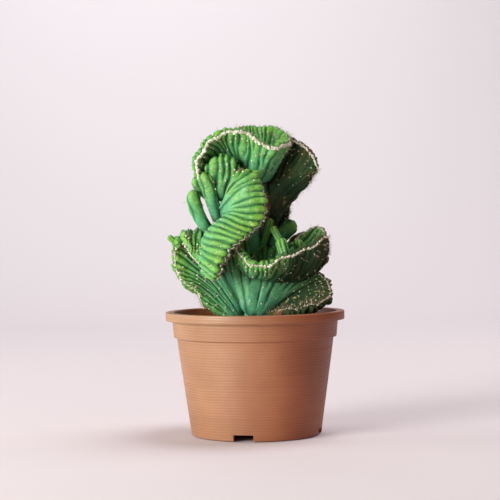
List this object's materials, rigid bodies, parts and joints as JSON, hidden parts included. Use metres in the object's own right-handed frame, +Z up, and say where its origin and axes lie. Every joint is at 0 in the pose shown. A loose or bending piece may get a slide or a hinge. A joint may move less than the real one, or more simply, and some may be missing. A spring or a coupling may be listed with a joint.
{
  "type": "potted cactus",
  "caption": "Crested cactus with folded, ribbed, spiny lobes, growing in potting mix in a tapered round plastic nursery pot with a turned-down lip.",
  "frame": {"origin": "centre of the foot circle, on the surface that the pot stands on", "axes": "+Z up through the pot's axis, -Y towards the side that the front lobe faces, +X to the right seen from that side"},
  "size_m": [0.14, 0.14, 0.242],
  "materials": {
    "pot": "moulded polypropylene, terracotta brown, fine brushed grain round the wall, satin",
    "potting_mix": "dark bark and peat crumbs with pale grit, matt",
    "cactus": "waxy green skin, glaucous in the folds and yellow-green on the young rib tips, pale wool and fine spines along the crests"
  },
  "bodies": {
    "root": {"pot": "pot", "potting_mix": "potting_mix", "cactus": "cactus"}
  },
  "joints": []
}
